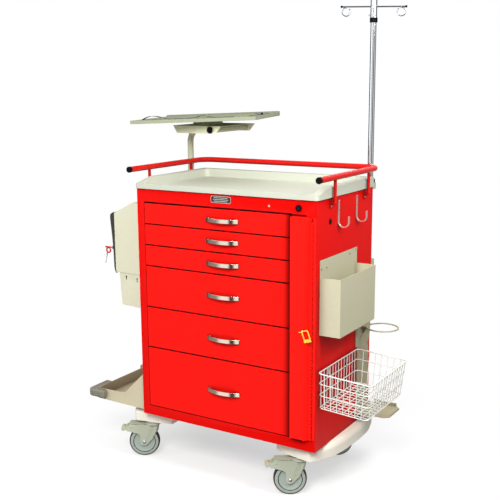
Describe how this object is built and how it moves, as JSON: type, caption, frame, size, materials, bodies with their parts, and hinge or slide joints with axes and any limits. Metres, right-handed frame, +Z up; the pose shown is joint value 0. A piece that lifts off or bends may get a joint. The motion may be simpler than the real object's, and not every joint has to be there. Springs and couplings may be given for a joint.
{
  "type": "crash cart",
  "caption": "Hospital crash cart: drawer cabinet on swivel casters with a worktop, push rail, IV pole, swivelling monitor shelf, sharps case, suction shelf and basket.",
  "frame": {"origin": "on the floor, under the middle of the overall box", "axes": "+X to the right as seen from the front, +Y from the drawer fronts to the back, +Z up"},
  "size_m": [1.277, 0.7342, 1.832],
  "materials": {
    "red_front": "smooth semi-gloss powder coat",
    "red_side": "smooth semi-gloss powder coat",
    "red_rail": "gloss powder coat on steel tube",
    "zinc": "zinc plated",
    "tray": "moulded, fine grain",
    "base_plastic": "moulded, fine grain",
    "black_plastic": "moulded satin",
    "plate": "silver label plate, blank",
    "nickel": "brushed nickel",
    "lens": "milky",
    "hook_steel": "beige powder coat",
    "beige_steel": "fine-texture powder coat",
    "cream_steel": "fine-texture powder coat",
    "shelf_steel": "fine-texture powder coat",
    "smoke_plastic": "tinted polycarbonate",
    "seal_plastic": "bright moulded",
    "chrome": "polished",
    "webbing": "woven webbing",
    "key_red": "coiled cord and steel key",
    "bumper": "moulded",
    "white_wire": "coated wire",
    "caster_grey": "moulded",
    "wheel": "grey tread on moulded core"
  },
  "bodies": {
    "cabinet": {"cabinet_shell": "red_side", "rear_panel": "red_side", "drawer_slide_rails": "zinc", "worktop_tray": "tray", "push_rail": "red_rail", "end_caps": "black_plastic", "name_plate": "plate", "lock_housing": "black_plastic", "indicator_light": "lens", "wall_hooks": "hook_steel", "waste_bin": "beige_steel", "oxygen_bracket": "beige_steel", "base_right_moulding": "base_plastic", "base_left_moulding": "base_plastic", "base_frame": "zinc", "caster_kingpins": "zinc", "bar_hinge": "red_side", "iv_pole_tube": "chrome", "iv_pole_brackets": "beige_steel", "defib_post": "beige_steel", "defib_bracket": "beige_steel", "sharps_bracket": "cream_steel", "suction_shelf": "shelf_steel", "suction_bumpers": "bumper", "fasteners": "zinc"},
    "drawer_1": {"drawer_1": "red_front", "drawer_1_handle": "nickel"},
    "drawer_2": {"drawer_2": "red_front", "drawer_2_handle": "nickel"},
    "drawer_3": {"drawer_3": "red_front", "drawer_3_handle": "nickel"},
    "drawer_4": {"drawer_4": "red_front", "drawer_4_handle": "nickel"},
    "drawer_5": {"drawer_5": "red_front", "drawer_5_handle": "nickel"},
    "drawer_6": {"drawer_6": "red_front", "drawer_6_handle": "nickel"},
    "bar": {"breakaway_bar": "red_front", "security_seal": "seal_plastic"},
    "lock": {"lock_plug": "nickel"},
    "iv_rod": {"iv_rod": "chrome"},
    "iv_head": {"iv_sleeve": "chrome", "iv_collar": "black_plastic", "iv_hook_bar": "chrome"},
    "iv_knob": {"iv_clamp_knob": "black_plastic"},
    "defib_shelf": {"defib_platform": "shelf_steel", "defib_straps": "webbing"},
    "sharps_door": {"sharps_door": "smoke_plastic"},
    "sharps_key": {"sharps_key": "key_red"},
    "basket": {"wire_basket": "white_wire"},
    "front_left_caster": {"front_left_fork": "caster_grey"},
    "front_left_wheel": {"front_left_wheel": "wheel"},
    "front_right_caster": {"front_right_fork": "caster_grey"},
    "front_right_wheel": {"front_right_wheel": "wheel"},
    "rear_left_caster": {"rear_left_fork": "caster_grey"},
    "rear_left_wheel": {"rear_left_wheel": "wheel"},
    "rear_right_caster": {"rear_right_fork": "caster_grey"},
    "rear_right_wheel": {"rear_right_wheel": "wheel"},
    "front_left_brake": {"front_left_pedal": "caster_grey"},
    "front_right_brake": {"front_right_pedal": "caster_grey"}
  },
  "joints": [
    {"name": "drawer_1_slide", "type": "slide", "parent": "cabinet", "child": "drawer_1", "axis": [0, -1, 0], "range_m": [0, 0.38]},
    {"name": "drawer_2_slide", "type": "slide", "parent": "cabinet", "child": "drawer_2", "axis": [0, -1, 0], "range_m": [0, 0.38]},
    {"name": "drawer_3_slide", "type": "slide", "parent": "cabinet", "child": "drawer_3", "axis": [0, -1, 0], "range_m": [0, 0.38]},
    {"name": "drawer_4_slide", "type": "slide", "parent": "cabinet", "child": "drawer_4", "axis": [0, -1, 0], "range_m": [0, 0.38]},
    {"name": "drawer_5_slide", "type": "slide", "parent": "cabinet", "child": "drawer_5", "axis": [0, -1, 0], "range_m": [0, 0.38]},
    {"name": "drawer_6_slide", "type": "slide", "parent": "cabinet", "child": "drawer_6", "axis": [0, -1, 0], "range_m": [0, 0.38]},
    {"name": "bar_swing", "type": "hinge", "parent": "cabinet", "child": "bar", "pos_m": [0.41045, -0.3436, 0.662], "axis": [0, 0, 1], "range_deg": [0, 100]},
    {"name": "lock_turn", "type": "hinge", "parent": "cabinet", "child": "lock", "pos_m": [0.35545, -0.3341, 1.099], "axis": [0, 1, 0], "range_deg": [0, 90]},
    {"name": "iv_height", "type": "slide", "parent": "cabinet", "child": "iv_rod", "axis": [0, 0, 1], "range_m": [0, 0.45]},
    {"name": "iv_turn", "type": "hinge", "parent": "iv_rod", "child": "iv_head", "pos_m": [0.39745, 0.1749, 1.801], "axis": [0, 0, 1], "continuous": true},
    {"name": "iv_knob_turn", "type": "hinge", "parent": "cabinet", "child": "iv_knob", "pos_m": [0.39745, 0.1749, 1.146], "axis": [0, 0, 1], "range_deg": [-180, 180]},
    {"name": "defib_swivel", "type": "hinge", "parent": "cabinet", "child": "defib_shelf", "pos_m": [-0.29855, 0.0809, 1.373], "axis": [0, 0, 1], "continuous": true},
    {"name": "sharps_door_swing", "type": "hinge", "parent": "cabinet", "child": "sharps_door", "pos_m": [-0.51705, -0.0849, 0.9], "axis": [0, 0, -1], "range_deg": [0, 100]},
    {"name": "sharps_key_turn", "type": "hinge", "parent": "sharps_door", "child": "sharps_key", "pos_m": [-0.55255, -0.2781, 0.868], "axis": [1, 0, 0], "range_deg": [0, 90]},
    {"name": "basket_lift", "type": "slide", "parent": "cabinet", "child": "basket", "axis": [0, 0, 1], "range_m": [0, 0.05]},
    {"name": "front_left_swivel", "type": "hinge", "parent": "cabinet", "child": "front_left_caster", "pos_m": [-0.36055, -0.2691, 0.144], "axis": [0, 0, 1], "continuous": true},
    {"name": "front_left_roll", "type": "hinge", "parent": "front_left_caster", "child": "front_left_wheel", "pos_m": [-0.39244, -0.28884, 0.0635], "axis": [0.5262, -0.8504, 0], "continuous": true},
    {"name": "front_left_brake_press", "type": "hinge", "parent": "front_left_caster", "child": "front_left_brake", "pos_m": [-0.43666, -0.3162, 0.1295], "axis": [0.5262, -0.8504, 0], "range_deg": [0, 18]},
    {"name": "front_right_swivel", "type": "hinge", "parent": "cabinet", "child": "front_right_caster", "pos_m": [0.32945, -0.2691, 0.144], "axis": [0, 0, 1], "continuous": true},
    {"name": "front_right_roll", "type": "hinge", "parent": "front_right_caster", "child": "front_right_wheel", "pos_m": [0.29756, -0.28884, 0.0635], "axis": [0.5262, -0.8504, 0], "continuous": true},
    {"name": "front_right_brake_press", "type": "hinge", "parent": "front_right_caster", "child": "front_right_brake", "pos_m": [0.25334, -0.3162, 0.1295], "axis": [0.5262, -0.8504, 0], "range_deg": [0, 18]},
    {"name": "rear_left_swivel", "type": "hinge", "parent": "cabinet", "child": "rear_left_caster", "pos_m": [-0.36055, 0.1409, 0.144], "axis": [0, 0, 1], "continuous": true},
    {"name": "rear_left_roll", "type": "hinge", "parent": "rear_left_caster", "child": "rear_left_wheel", "pos_m": [-0.39244, 0.12116, 0.0635], "axis": [0.5262, -0.8504, 0], "continuous": true},
    {"name": "rear_right_swivel", "type": "hinge", "parent": "cabinet", "child": "rear_right_caster", "pos_m": [0.32945, 0.1409, 0.144], "axis": [0, 0, 1], "continuous": true},
    {"name": "rear_right_roll", "type": "hinge", "parent": "rear_right_caster", "child": "rear_right_wheel", "pos_m": [0.29756, 0.12116, 0.0635], "axis": [0.5262, -0.8504, 0], "continuous": true}
  ]
}
